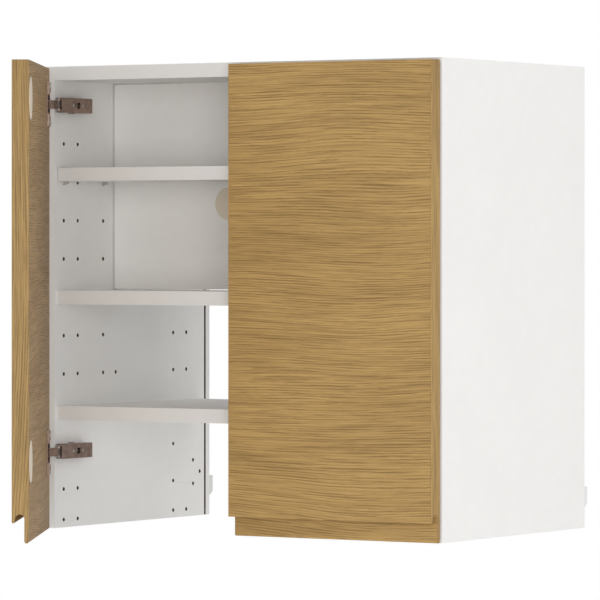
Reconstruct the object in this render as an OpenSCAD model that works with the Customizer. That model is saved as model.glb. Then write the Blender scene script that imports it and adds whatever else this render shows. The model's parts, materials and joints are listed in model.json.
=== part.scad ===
/* [Cabinet] */
// Overall width of the carcass
carcass_w = 600; // [400:10:800]
// Overall height of the carcass
carcass_h = 600; // [560:10:1000]
// Depth of the carcass without doors
carcass_d = 370; // [340:10:450]
// Thickness of the side panels, top panel and fixed shelves
panel_t = 18; // [15:0.5:25]
// Distance from the top of the carcass down to the line it hangs on
hook_drop = 45; // [40:1:60]
// Space between the rear of the carcass and the wall
wall_gap = 13; // [8:1:20]

/* [Shelves] */
// Height of the fixed mid shelf's centre above the bottom of the side panels
mid_shelf_z = 300; // [250:10:350]
// Depth of the fixed mid shelf
mid_shelf_d = 150; // [120:1:200]
// Height of the hood shelf's centre above the bottom of the side panels
hood_shelf_z = 150; // [135:5:200]
// Depth of the hood shelf
hood_shelf_d = 335; // [250:1:340]
// Setback of the shelves behind the front of the side panels
shelf_setback = 6; // [2:1:15]
// Depth of the loose spice shelf
spice_shelf_d = 122; // [80:1:122]
// Height of the pin row that carries the spice shelf
pin_row_z = 450; // [400:50:450]
// Gap between the spice shelf and each side panel
spice_shelf_gap = 1; // [0.5:0.1:2]

/* [False back] */
// Distance from the front of the carcass to the face of the partition panel
partition_y = 136; // [131:1:145]
// Thickness of the partition panel
partition_t = 8; // [5:0.5:12]
// Gap around the partition panel
partition_gap = 1.2; // [0.5:0.1:2]
// Diameter of the cable hole in the partition panel
cable_hole_d = 40; // [30:1:50]
// Distance from the left outer face to the middle of the cable hole
cable_hole_u = 200; // [120:5:280]
// Height of the cable hole above the bottom of the side panels
cable_hole_z = 422; // [380:1:425]

/* [Doors] */
// Thickness of a door
door_t = 21; // [19:0.5:26]
// Gap between the two doors
door_gap = 3; // [2:0.5:5]
// Distance from a door's hinge edge to the outer face of the carcass
door_inset = 1.5; // [1:0.5:3]
// Distance from the top of a door to the top of the carcass
door_top_gap = 3; // [1:0.5:6]
// Gap between the back of a closed door and the carcass
door_back_gap = 2.5; // [2:0.1:4]
// Thickness of the edge bands on the upright edges of a door
band_t = 1; // [0.4:0.1:2]
// Opening of the left door, in degrees
left_open = 60; // [0:1:110]
// Opening of the right door, in degrees
right_open = 0; // [0:1:110]

/* [Grip] */
// Height of the lower end of the outer lip above the door's lower end
lip_z = 25; // [15:1:40]
// Height of the top of the finger groove above the door's lower end
groove_top_z = 36; // [30:1:55]
// Thickness of the outer lip at its lower end
lip_t = 2.6; // [2:0.1:4]
// Thickness of the outer lip at the top of its taper
lip_root_t = 4.2; // [3:0.1:6]
// Thickness of the rear flange that a hand pulls on
flange_t = 5.4; // [4:0.1:8]

/* [Hinges] */
// Height of the upper hinges above the bottom of the side panels
hinge_high_z = 550; // [500:50:550]
// Height of the lower hinges above the bottom of the side panels
hinge_low_z = 100; // [50:50:100]
// Diameter of the hinge cup
cup_d = 35; // [35:1:40]
// Depth of the hinge cup from the back of the door
cup_depth = 14; // [12:0.5:16]
// Distance from the door's edge to the middle of a cup
cup_edge = 22.5; // [20:0.5:24]
// Distance of the door's swing axis outside its hinge edge
axis_out = 2.2; // [0:0.1:4]
// Distance of the door's swing axis in front of the door's back
axis_depth = 24.4; // [19:0.1:26]
// Length of the hinge arm behind the front of the carcass
arm_len = 65; // [55:1:75]
// Distance from the side panel to the top of the hinge arm
arm_rise = 15; // [13:0.5:18]
// Height of the hinge arm's channel
arm_h = 19; // [17:0.5:22]

/* [Fixings] */
// Diameter of the shelf pin holes
pin_hole_d = 5; // [4:0.1:7]
// Depth of the shelf pin holes
pin_hole_depth = 12; // [8:0.5:13]
// Diameter of the wooden dowels
dowel_d = 8; // [6:0.5:10]
// Diameter of the cam housings
cam_d = 15; // [12:0.5:15]
// Clearance between a fixing and its hole, on the radius
fit_gap = 0.05; // [0.02:0.01:0.1]

/* [Hidden] */
$fn = 40;
SIDES = ["left", "right"];
LEVELS = ["upper", "lower"];

white = [0.93, 0.93, 0.92];
oak = [0.62, 0.5, 0.32];
steel = [0.72, 0.7, 0.68];
hinge_metal = [0.58, 0.5, 0.45];
birch = [0.85, 0.72, 0.5];
cream = [0.8, 0.77, 0.7];

inner_w = carcass_w - 2 * panel_t;
// Spacing of the rows of shelf pin holes
row_step = 50;
// How far a cut runs past a face, so that it opens it
cut = 1;
// Dowels and cams of a fixed panel, as distances from its front and rear edges
dowel_inset = 17;
cam_inset = 49;
// Holes for a back panel groove: its width, depth and distance from the rear
groove_w = 4;
groove_depth = 8;
groove_back = 9.5;

// Doors, seen closed, with u measured inwards from the outer face of the carcass
door_w = (carcass_w - 2 * door_inset - door_gap) / 2;
door_h = carcass_h - door_top_gap;
door_back_y = -door_back_gap;
door_front_y = door_back_y - door_t;
axis_u = door_inset - axis_out;
axis_y = door_back_y - axis_depth;

// Hinge: middle of the cup, floor of the cup and the two pivots
cup_u = door_inset + cup_edge;
cup_wall = 1.2;
cup_clearance = 0.1;
cup_floor_y = door_back_y - cup_depth;
cup_base = 0.8;
cup_pin_u = cup_u - 8.8;
cup_pin_y = door_back_y - 3.35;
arm_pin_u = cup_u + 9;
arm_pin_y = door_back_y - 9.5;
pin_d = 2.4;
// A lever's length between its eyes, and where it points with the door 60 degrees open
lever_len = 18;
lever_dir_60 = -110;
// Turn of the lever for each degree that the door opens
lever_ratio = 1.4;
lever_t = 1.2;
lever_half = 5.6;
nose_half = 8.4;
nose_wall = 1.4;
nose_r = 2.2;

// Screw places of the cup flange and of the mounting plate
cup_screw_back = 9.5;
cup_screw_z = 22.5;
screw_d = 3.6;
screw_head_d = 7;
screw_head_t = 1.4;
plate_screw_head_d = 8;
plate_screw_head_t = 1.6;
plate_screw_d = pin_hole_d - 2 * fit_gap;

function hinge_z(level) = level == "upper" ? hinge_high_z : hinge_low_z;
function opening(side) = side == "left" ? left_open : right_open;
function lever_dir(side) = lever_dir_60 + lever_ratio * (opening(side) - 60);

// ---------- Frames ----------

module carcass_frame() {
    translate([-carcass_w / 2, -(wall_gap + carcass_d), hook_drop - carcass_h]) children();
}

module on_side(side) {
    if (side == "left") carcass_frame() children();
    else mirror([1, 0, 0]) carcass_frame() children();
}

module on_door(side) {
    on_side(side)
        translate([axis_u, axis_y, 0])
            rotate(-opening(side))
                translate([-axis_u, -axis_y, 0])
                    children();
}

module on_lever(side, level) {
    on_side(side)
        translate([arm_pin_u, arm_pin_y, hinge_z(level)])
            rotate(lever_dir(side))
                children();
}

// A hole or pin along u, starting at the given place
module along_u(u, y, z, d, len) {
    translate([u, y, z]) rotate([0, 90, 0]) cylinder(d = d, h = len);
}

// A hole or pin along y, starting at the given place
module along_y(u, y, z, d, len) {
    translate([u, y, z]) rotate([-90, 0, 0]) cylinder(d = d, h = len);
}

// ---------- Panels and shelves ----------

// Fixed panels as [height of the centre, front setback, depth]
function fixed_panels() = [
    [carcass_h - panel_t / 2, 0, carcass_d],
    [mid_shelf_z, shelf_setback, mid_shelf_d],
    [hood_shelf_z, shelf_setback, hood_shelf_d]
];

// Depths at which a fixed panel is doweled and clamped
function dowel_ys(p) = [p[1] + dowel_inset, p[1] + p[2] - dowel_inset];
function cam_ys(p) = [p[1] + cam_inset, p[1] + p[2] - cam_inset];

dowel_len = 30;
dowel_in_side = 12;
bolt_d = 6;
bolt_thread_d = 5;
bolt_neck_d = 4;
bolt_reach = 34;
// The bolt's head and the neck behind it, each this long
bolt_head_len = 2;
cam_reach = 30;
// How far a cam's bore reaches past the middle of its panel
cam_below = 3.5;
cam_depth = panel_t / 2 + cam_below;

// Shelf pin columns, as distances from the front of the carcass
front_cols = [21, 53, 112];
rear_cols = [280, 312];
hinge_cols = [front_cols[0], front_cols[1]];

// Hole pattern of a side panel, as [y, z] pairs
function side_holes() = concat(
    [for (z = [10, 50, 500, hinge_low_z, hinge_high_z]) for (y = hinge_cols) [y, z]],
    [for (z = [200 : row_step : 450]) for (y = front_cols) if (abs(z - mid_shelf_z) > panel_t) [y, z]],
    [for (z = [10, 200, 250]) for (y = rear_cols) [y, z]],
    [[141.5, 200], [280, 100], [280, 50], [329, 76], [345.5, 60], [329, 44]]
);

module side_panel(side) {
    on_side(side) color(white)
    difference() {
        cube([panel_t, carcass_d, carcass_h]);
        for (h = side_holes())
            along_u(panel_t - pin_hole_depth, h[0], h[1], pin_hole_d, pin_hole_depth + cut);
        translate([panel_t - groove_depth, carcass_d - groove_back - groove_w, -cut])
            cube([groove_depth + cut, groove_w, carcass_h + 2 * cut]);
        for (p = fixed_panels()) {
            for (y = dowel_ys(p))
                along_u(panel_t - dowel_in_side, y, p[0], dowel_d + 2 * fit_gap, dowel_in_side + cut);
            for (y = cam_ys(p))
                along_u(panel_t - dowel_in_side, y, p[0], bolt_thread_d + 2 * fit_gap,
                    dowel_in_side + cut);
        }
        along_y(panel_t / 2, carcass_d - spacer_peg_len, spacer_z, spacer_peg_d + 2 * fit_gap,
            spacer_peg_len + cut);
    }
}

// A fixed panel between the side panels; cams are let into its upper or lower face
module fixed_panel(p, cams_up) {
    carcass_frame() color(white)
    difference() {
        translate([panel_t, p[1], p[0] - panel_t / 2]) cube([inner_w, p[2], panel_t]);
        for (right = [0, 1])
            translate([right * carcass_w, 0, 0]) mirror([right, 0, 0]) {
                for (y = dowel_ys(p))
                    along_u(panel_t - cut, y, p[0], dowel_d + 2 * fit_gap,
                        dowel_len - dowel_in_side + cut + 1);
                for (y = cam_ys(p)) {
                    along_u(panel_t - cut, y, p[0], bolt_d + 1, cam_reach + cut);
                    cam_place(y, p[0], cams_up)
                        cylinder(d = cam_d + 2 * fit_gap, h = cam_depth + cut);
                }
            }
    }
}

// Puts a cam at its bore: its floor below, its open face flush with the panel's
module cam_place(y, z, cams_up) {
    translate([panel_t + cam_reach, y, z]) mirror([0, 0, cams_up ? 0 : 1])
        translate([0, 0, panel_t / 2 - cam_depth]) children();
}

module cams(part) {
    carcass_frame()
    for (i = [0 : 2]) {
        p = fixed_panels()[i];
        for (right = [0, 1])
            translate([right * carcass_w, 0, 0]) mirror([right, 0, 0])
                for (y = cam_ys(p)) {
                    if (part == "housing") cam_housing(y, p[0], i == 0);
                    else cam_bolt(y, p[0]);
                }
    }
}

// A round zinc housing with a window for the bolt's head and a cross slot
module cam_housing(y, z, cams_up) {
    color(steel)
    difference() {
        cam_place(y, z, cams_up) cylinder(d = cam_d, h = cam_depth);
        along_u(panel_t + cam_reach - cam_d, y, z, bolt_d + 2, cam_d + 4);
        cam_place(y, z, cams_up)
            for (turn = [0, 90])
                rotate(turn) translate([-4, -0.9, cam_depth - 1.6]) cube([8, 1.8, 1.6 + cut]);
    }
}

// A steel bolt: thread in the side panel, shank, and a head inside the housing
module cam_bolt(y, z) {
    color(steel) {
        along_u(panel_t - dowel_in_side + 0.5, y, z, bolt_thread_d, dowel_in_side - 0.5);
        along_u(panel_t, y, z, bolt_d, bolt_reach - 2 * bolt_head_len);
        along_u(panel_t + bolt_reach - 2 * bolt_head_len, y, z, bolt_neck_d, bolt_head_len);
        along_u(panel_t + bolt_reach - bolt_head_len, y, z, bolt_d, bolt_head_len);
    }
}

module dowels() {
    carcass_frame() color(birch)
    for (p = fixed_panels())
        for (right = [0, 1])
            translate([right * carcass_w, 0, 0]) mirror([right, 0, 0])
                for (y = dowel_ys(p))
                    along_u(panel_t - dowel_in_side + 0.5, y, p[0], dowel_d, dowel_len - 0.5);
}

// ---------- Spice shelf and its pins ----------

// The shelf's underside stands this far above the middle of its pins
pin_seat = 1;
pin_flange_d = 8;
pin_flange_t = 1;
pin_tongue = 7;
pin_cols = [front_cols[0], front_cols[2]];

module spice_shelf() {
    carcass_frame() color(white)
    translate([panel_t + spice_shelf_gap, shelf_setback, pin_row_z + pin_seat])
        cube([inner_w - 2 * spice_shelf_gap, spice_shelf_d, panel_t]);
}

// A pin: peg in the hole, thin collar against the panel, flat-topped tongue
module shelf_pins() {
    carcass_frame() color(steel)
    for (right = [0, 1])
        translate([right * carcass_w, 0, 0]) mirror([right, 0, 0])
            for (y = pin_cols) {
                along_u(panel_t - pin_hole_depth + 1, y, pin_row_z,
                    pin_hole_d - 2 * fit_gap, pin_hole_depth - 1);
                difference() {
                    union() {
                        along_u(panel_t, y, pin_row_z, pin_flange_d, pin_flange_t);
                        along_u(panel_t, y, pin_row_z, pin_hole_d, pin_tongue);
                    }
                    translate([panel_t + spice_shelf_gap / 2, y - pin_flange_d, pin_row_z + pin_seat])
                        cube([pin_tongue + cut, 2 * pin_flange_d, pin_flange_d]);
                }
            }
}

// ---------- False back ----------

module partition_panel() {
    low = mid_shelf_z + panel_t / 2;
    carcass_frame() color(white)
    difference() {
        translate([panel_t + partition_gap, partition_y, low + partition_gap])
            cube([inner_w - 2 * partition_gap, partition_t,
                carcass_h - panel_t - low - 2 * partition_gap]);
        along_y(cable_hole_u, partition_y - cut, cable_hole_z, cable_hole_d, partition_t + 2 * cut);
    }
}

// Angle brackets behind the partition panel, one in each corner
module partition_brackets() {
    low = mid_shelf_z + panel_t / 2 + 30;
    high = carcass_h - panel_t - 110;
    leg = 18;
    thick = 2;
    carcass_frame() color(steel)
    for (right = [0, 1])
        translate([right * carcass_w, 0, 0]) mirror([right, 0, 0])
            for (z = [low, high]) translate([panel_t, partition_y + partition_t, z]) {
                cube([thick, leg, leg]);
                cube([leg, thick, leg]);
            }
}

// A domed plastic cap that snaps into the cable hole
module cable_cap() {
    rim = 3;
    carcass_frame() color(cream)
    translate([cable_hole_u, partition_y, cable_hole_z]) rotate([90, 0, 0])
    rotate_extrude()
        polygon([[0, 0], [cable_hole_d / 2 - 3, 0], [cable_hole_d / 2 - 3, -partition_t - 1],
            [cable_hole_d / 2 - 2 * fit_gap - 1.4, -partition_t - 1],
            [cable_hole_d / 2 - 2 * fit_gap, -partition_t + 1], [cable_hole_d / 2 - 2 * fit_gap, 0],
            [cable_hole_d / 2 + rim - 2, 0], [cable_hole_d / 2 + rim - 2, 0.8],
            [cable_hole_d / 2 + rim - 3, 1.6], [0, 1.6]]);
}

// ---------- Hanging fittings and wall spacers ----------

hanger_w = 20;
hanger_d = 42;
hanger_h = 62;
hanger_top = 8;
hook_w = 12;
hook_t = 2.5;
hook_lip = 9;
hanger_wall = 3;
hook_clearance = 1;
// The hook's leg stops just short of the housing's top wall
hook_leg = hanger_z() + hanger_h - hanger_wall - hook_clearance - hook_z();
// Adjusting screw: its height above the hook, its shank, its head and its slots
hook_screw_up = 8;
hook_screw_d = 5;
hook_screw_len = 24;
hook_screw_head_d = 10;
hook_screw_head_t = 2.5;
hook_slot_w = 1.2;
hook_slot_len = 6;
spacer_z = 40;
spacer_peg_d = 6;
spacer_peg_len = 16;
spacer_h = 26;

// Low corner of a hanger's housing, in the top rear corner of the carcass
hanger_y = carcass_d - hanger_d - 16;

module hanger(side) {
    on_side(side) color([0.88, 0.88, 0.86])
    difference() {
        translate([panel_t, hanger_y, hanger_z()]) cube([hanger_w, hanger_d, hanger_h]);
        translate([panel_t + (hanger_w - hook_w) / 2 - 0.5, hanger_y + hanger_wall,
            hanger_z() + hanger_wall])
            cube([hook_w + 1, hanger_d, hanger_h - 2 * hanger_wall]);
        along_y(panel_t + hanger_w / 2, hanger_y - cut, hook_z() + hook_screw_up, hook_screw_d + 2,
            hanger_wall + 2 * cut);
    }
}

function hook_z() = carcass_h - hook_drop;
function hanger_z() = carcass_h - panel_t - hanger_top - hanger_h;

// A bent steel hook: a plate that leaves the housing and a lip that hooks over the rail
module hanger_hook(side) {
    u = panel_t + (hanger_w - hook_w) / 2;
    reach = carcass_d + wall_gap - hook_t;
    on_side(side) color(steel) {
        translate([u, hanger_y + 6, hook_z()])
            cube([hook_w, reach + hook_t - hanger_y - 6, hook_t]);
        translate([u, reach, hook_z() - hook_lip]) cube([hook_w, hook_t, hook_lip]);
        difference() {
            translate([u, hanger_y + 6, hook_z()]) cube([hook_w, hook_t, hook_leg]);
            along_y(u + hook_w / 2, hanger_y + 5, hook_z() + hook_screw_up,
                hook_screw_d + 2 * fit_gap, hook_t + 3);
        }
    }
}

// The screw that draws the cabinet to the wall
module hanger_screw(side) {
    u = panel_t + hanger_w / 2;
    z = hook_z() + hook_screw_up;
    head_y = hanger_y - hook_screw_head_t - 0.1;
    on_side(side) color(steel)
    difference() {
        union() {
            along_y(u, head_y, z, hook_screw_head_d, hook_screw_head_t);
            along_y(u, head_y, z, hook_screw_d, hook_screw_len);
        }
        translate([u - hook_slot_len / 2, head_y - cut, z - hook_slot_w / 2])
            cube([hook_slot_len, 2.2, hook_slot_w]);
        translate([u - hook_slot_w / 2, head_y - cut, z - hook_slot_len / 2])
            cube([hook_slot_w, 2.2, hook_slot_len]);
    }
}

// A plastic distance block with a peg in the rear edge of the side panel
module wall_spacer(side) {
    chamfer = 5;
    on_side(side) color([0.95, 0.95, 0.94]) {
        translate([panel_t / 2 - 6, carcass_d, spacer_z - spacer_h / 2])
            rotate([90, 0, 90]) linear_extrude(12)
                polygon([[0, 0], [wall_gap - chamfer, 0], [wall_gap, chamfer],
                    [wall_gap, spacer_h], [0, spacer_h]]);
        along_y(panel_t / 2, carcass_d - spacer_peg_len + 0.5, spacer_z, spacer_peg_d,
            spacer_peg_len - 0.5);
    }
}

// ---------- Doors ----------

// Section of a door from its front face (x = 0) to its back (x = door_t)
module door_section() {
    groove_r = (door_t - flange_t - lip_root_t) / 2;
    groove_x = lip_root_t + groove_r;
    nose = flange_t / 2;
    difference() {
        square([door_t, door_h]);
        translate([-cut, -cut]) square([lip_root_t + cut, lip_z + cut]);
        translate([lip_root_t, -cut]) square([2 * groove_r, groove_top_z - groove_r + cut]);
        translate([groove_x, groove_top_z - groove_r]) circle(r = groove_r);
        polygon([[lip_t, lip_z - cut], [lip_root_t + cut, lip_z - cut],
            [lip_root_t + cut, groove_top_z - groove_r], [lip_root_t, groove_top_z - groove_r],
            [lip_t, lip_z]]);
        difference() {
            translate([door_t - flange_t - cut, -cut]) square([flange_t + 2 * cut, nose + cut]);
            translate([door_t - nose, nose]) circle(r = nose);
        }
    }
}

// A length of the door's section, from one distance inwards to another
module door_slice(from, to) {
    translate([from, door_front_y, 0])
        rotate([90, 0, 90]) linear_extrude(to - from) door_section();
}

door_u0 = door_inset + band_t;
door_u1 = door_inset + door_w - band_t;
free_cup_u = door_inset + door_w - cup_edge;

module door(side) {
    on_door(side) color(oak)
    difference() {
        door_slice(door_u0, door_u1);
        for (level = LEVELS) {
            along_y(cup_u, cup_floor_y - cup_clearance, hinge_z(level),
                cup_d + 2 * cup_clearance, cup_depth + cut);
            along_y(free_cup_u, cup_floor_y, hinge_z(level), cup_d, cup_depth + cut);
            for (dz = [-cup_screw_z, cup_screw_z]) {
                along_y(cup_u + cup_screw_back, cup_floor_y, hinge_z(level) + dz,
                    screw_d + 2 * fit_gap, cup_depth + cut);
            }
        }
    }
}

module band(side, free) {
    from = free ? door_u1 : door_inset;
    on_door(side) color(oak) door_slice(from, from + band_t);
}

// Oval cover over an unused cup hole: a low dome with a plug ring behind it
module cover_cap(side, level) {
    cap_w = 36;
    cap_h = 53;
    cap_t = 1.2;
    plug = 3;
    on_door(side) color(cream)
    translate([free_cup_u, door_back_y, hinge_z(level)]) {
        rotate([90, 0, 0]) mirror([0, 0, 1]) linear_extrude(cap_t)
            polygon([for (a = [0 : 6 : 354]) [cap_w / 2 * cos(a), cap_h / 2 * sin(a)]]);
        difference() {
            along_y(0, -plug, 0, cup_d - 2 * cup_clearance, plug);
            along_y(0, -plug - cut, 0, cup_d - 4, plug + cut);
        }
    }
}

// ---------- Hinges ----------

flange_u = 18;
flange_thin = 1.2;
flange_proud = 3.4;
flange_half = 29;
wing_start = 12.5;
// Nearest that the raised part of the flange comes to the outer face of the carcass
wing_u0 = panel_t + 1.5;
wing_u1 = cup_u + flange_u - 1;

module hinge_cup(side, level) {
    ear_in = lever_half + 0.6;
    ear_out = ear_in + 1.4;
    cup_r = cup_d / 2;
    on_door(side) color(hinge_metal)
    translate([0, 0, hinge_z(level)])
    difference() {
        union() {
            difference() {
                union() {
                    along_y(cup_u, cup_floor_y, 0, cup_d, cup_depth);
                    translate([cup_u - flange_u, door_back_y, -flange_half])
                        cube([2 * flange_u, flange_thin, 2 * flange_half]);
                    for (up = [0, 1])
                        mirror([0, 0, up])
                            translate([wing_u0, door_back_y, wing_start])
                                cube([wing_u1 - wing_u0, flange_proud, flange_half - wing_start - 0.8]);
                }
                along_y(cup_u, cup_floor_y + cup_base, 0, cup_d - 2 * cup_wall,
                    cup_depth + 2 * flange_proud);
            }
            intersection() {
                along_y(cup_u, cup_floor_y, 0, cup_d, cup_depth);
                for (up = [0, 1])
                    mirror([0, 0, up])
                        translate([0, 0, ear_in]) {
                            translate([cup_pin_u, cup_pin_y, 0]) cylinder(r = 2.4, h = ear_out - ear_in);
                            translate([cup_pin_u - 2.4, cup_floor_y, 0])
                                cube([4.8, cup_pin_y - cup_floor_y, ear_out - ear_in]);
                        }
            }
        }
        for (up = [0, 1])
            mirror([0, 0, up])
                translate([cup_pin_u, cup_pin_y, ear_in - 0.1]) cylinder(d = pin_d + 2 * fit_gap, h = 1.6);
        for (dz = [-cup_screw_z, cup_screw_z])
            along_y(cup_u + cup_screw_back, cup_floor_y, dz, screw_d + 1, cup_depth + 2 * flange_proud);
    }
}

module cup_screws(side) {
    on_door(side) color(steel)
    for (level = LEVELS)
        for (dz = [-cup_screw_z, cup_screw_z])
            difference() {
                union() {
                    along_y(cup_u + cup_screw_back, cup_floor_y + 0.5, hinge_z(level) + dz, screw_d,
                        cup_depth + flange_proud);
                    along_y(cup_u + cup_screw_back, door_back_y + flange_proud,
                        hinge_z(level) + dz, screw_head_d, screw_head_t);
                }
                translate([cup_u + cup_screw_back - 2.2, door_back_y + flange_proud + 0.6,
                    hinge_z(level) + dz - 0.4]) cube([4.4, 2, 0.8]);
                translate([cup_u + cup_screw_back - 0.4, door_back_y + flange_proud + 0.6,
                    hinge_z(level) + dz - 2.2]) cube([0.8, 2, 4.4]);
            }
}

// Short pins that carry the levers in the cup's ears
module cup_pins(side) {
    on_door(side) color(steel)
    for (level = LEVELS)
        for (up = [0, 1])
            translate([0, 0, hinge_z(level)]) mirror([0, 0, up])
                translate([cup_pin_u, cup_pin_y, lever_half + 0.5]) cylinder(d = pin_d, h = 1.5);
}

plate_t = 2;
spine_t = 8;

// Plate screwed into the hole row, with a raised spine that the arm clips over
module mounting_plate(side, level) {
    on_side(side) color(hinge_metal)
    translate([panel_t, 0, hinge_z(level)])
    difference() {
        union() {
            translate([0, 13, -8.2]) cube([plate_t, arm_len - 18, 16.4]);
            translate([0, 31, -10.5]) cube([plate_t, 12, 21]);
            translate([0, 28, -6.5]) cube([spine_t, 18, 13]);
        }
        for (y = hinge_cols)
            along_u(-cut, y, 0, plate_screw_d + 2 * fit_gap, plate_t + 2 * cut);
    }
}

module plate_screws() {
    for (side = SIDES)
        on_side(side) color(steel)
        for (level = LEVELS)
            for (y = hinge_cols)
                difference() {
                    union() {
                        along_u(panel_t - pin_hole_depth + 0.5, y, hinge_z(level),
                            plate_screw_d, pin_hole_depth + plate_t);
                        along_u(panel_t + plate_t, y, hinge_z(level), plate_screw_head_d,
                            plate_screw_head_t);
                    }
                    screw_cross(panel_t + plate_t + 0.8, y, hinge_z(level), 4.6, 0.9);
                }
}

// A cross slot cut in a screw head that faces along u
module screw_cross(u, y, z, len, wide) {
    translate([u, y - len / 2, z - wide / 2]) cube([3, len, wide]);
    translate([u, y - wide / 2, z - len / 2]) cube([3, wide, len]);
}

arm_wall = 1.2;
arm_front = 1;
window_y = 30.5;
window_l = 7;
window_h = 7.5;
arm_screw_d = 5;
arm_screw_len = arm_rise - spine_t;
arm_screw_ys = [window_y - 7.5, window_y + window_l + 7.5];

// The web over the nose leans away from the pin, to clear the lever's eye
nose_web = 10;
nose_lean = 12 - asin((panel_t + arm_rise - arm_pin_u) / nose_web);

// Outline of the arm's nose, seen from above: from the channel down to the pin
module nose_outline() {
    hull() {
        translate([arm_pin_u, arm_pin_y]) circle(r = nose_r, $fn = 32);
        translate([panel_t + arm_rise - nose_r, 2]) circle(r = nose_r, $fn = 32);
    }
    translate([panel_t + 7, 0]) square([arm_rise - 7, 9]);
}

// A pressed channel that clips over the mounting plate, with a forked nose
module hinge_arm(side, level) {
    on_side(side) color(hinge_metal)
    translate([0, 0, hinge_z(level)]) {
        difference() {
            translate([panel_t + plate_t, arm_front, -arm_h / 2])
                cube([arm_rise - plate_t, arm_len - arm_front, arm_h]);
            translate([panel_t + plate_t - cut, arm_front + arm_wall - 30, -arm_h / 2 + arm_wall])
                cube([arm_rise - plate_t - arm_wall + cut, arm_len - arm_front - 2 * arm_wall + 30,
                    arm_h - 2 * arm_wall]);
            translate([panel_t + arm_rise - 2 * arm_wall, window_y, -window_h / 2])
                cube([3 * arm_wall, window_l, window_h]);
            for (y = arm_screw_ys)
                along_u(panel_t + arm_rise - 2 * arm_wall, y, 0, arm_screw_d + 2 * fit_gap,
                    3 * arm_wall);
        }
        for (up = [0, 1])
            mirror([0, 0, up])
                difference() {
                    translate([0, 0, nose_half - nose_wall]) linear_extrude(nose_wall) nose_outline();
                    translate([arm_pin_u, arm_pin_y, nose_half - nose_wall - cut])
                        cylinder(d = pin_d + 2 * fit_gap, h = nose_wall + 2 * cut);
                }
        translate([panel_t + arm_rise, arm_front + arm_wall, -nose_half])
            rotate(-90 + nose_lean)
                translate([0, -arm_wall, 0]) cube([nose_web, arm_wall, 2 * nose_half]);
    }
}

// Adjusting screws in the holes of each arm
module arm_screws() {
    for (side = SIDES)
        on_side(side) color(steel)
        for (level = LEVELS)
            for (y = arm_screw_ys)
                difference() {
                    along_u(panel_t + arm_rise - arm_screw_len, y, hinge_z(level), arm_screw_d,
                        arm_screw_len - 0.3);
                    screw_cross(panel_t + arm_rise - 1.3, y, hinge_z(level), 3.4, 0.7);
                }
}

// Short pins from the arm's nose into the cheeks of the outer levers
module arm_pins() {
    for (side = SIDES)
        on_side(side) color(steel)
        for (level = LEVELS)
            for (up = [0, 1])
                translate([0, 0, hinge_z(level)]) mirror([0, 0, up])
                    translate([arm_pin_u, arm_pin_y, lever_half - lever_t])
                        cylinder(d = pin_d, h = nose_half - lever_half + lever_t);
}

// A lever is cranked: its middle line bends sideways between the two eyes
crank_x = 9;
crank_y = 1.5;
lever_w = 1;
eye_r = 1.6;
end_eye_r = 1.5;

// A strip along the bent middle line, between two distances and two offsets from it
module crank_strip(from, to, low, high) {
    function mid(x) = x < crank_x ? crank_y * x / crank_x
        : crank_y * (lever_len - x) / (lever_len - crank_x);
    polygon([[from, mid(from) + low], [crank_x, crank_y + low], [to, mid(to) + low],
        [to, mid(to) + high], [crank_x, crank_y + high], [from, mid(from) + high]]);
}

// Lever seen along its pins: origin at the arm pin, the other eye at x = lever_len
module outer_lever(side, level) {
    on_lever(side, level) color(hinge_metal) {
        for (up = [0, 1])
            mirror([0, 0, up])
                translate([0, 0, lever_half - lever_t]) linear_extrude(lever_t)
                    difference() {
                        union() {
                            circle(r = eye_r);
                            translate([lever_len, 0]) circle(r = end_eye_r);
                            crank_strip(0, lever_len, -lever_w, lever_w);
                        }
                        circle(d = pin_d + 2 * fit_gap);
                        translate([lever_len, 0]) circle(d = pin_d / 2);
                    }
        translate([0, 0, -lever_half + lever_t / 2])
            linear_extrude(2 * lever_half - lever_t)
                crank_strip(2.6, lever_len - 2.2, lever_w - 0.7, lever_w);
    }
}

// A second, narrower lever nested inside the outer one
module inner_lever(side, level) {
    half = 3.8;
    on_lever(side, level) color(hinge_metal)
    translate([0, 0, -half]) linear_extrude(2 * half)
        crank_strip(2, lever_len - 1.6, -lever_w, 0.1);
}

// ---------- Nodes ----------

fixed_panel(fixed_panels()[0], true);  // top_panel
fixed_panel(fixed_panels()[1], false);  // mid_shelf
fixed_panel(fixed_panels()[2], false);  // hood_shelf
spice_shelf();
partition_panel();
partition_brackets();
cable_cap();
dowels();
cams("bolt");  // cam_bolts
cams("housing");  // cam_housings
shelf_pins();
plate_screws();
arm_screws();
arm_pins();
for (side = SIDES) {
    side_panel(side);
    hanger(side);
    hanger_hook(side);
    hanger_screw(side);
    wall_spacer(side);
    door(side);
    band(side, false);
    band(side, true);
    cup_screws(side);
    cup_pins(side);
    for (level = LEVELS) {
        id = str(side, "_", level);
        mounting_plate(side, level);
        hinge_arm(side, level);
        hinge_cup(side, level);
        cover_cap(side, level);
        outer_lever(side, level);
        inner_lever(side, level);
    }
}
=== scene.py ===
"""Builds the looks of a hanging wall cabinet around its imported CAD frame.

Metres throughout, in the frame's own axes: X right, Y into the wall, Z up. The left door stands
open at rest, so its pieces are worked out as if it were closed, and then turned about its swing
axis.
"""

import json
import math

import bmesh
import bpy
from mathutils import Matrix, Vector


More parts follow.
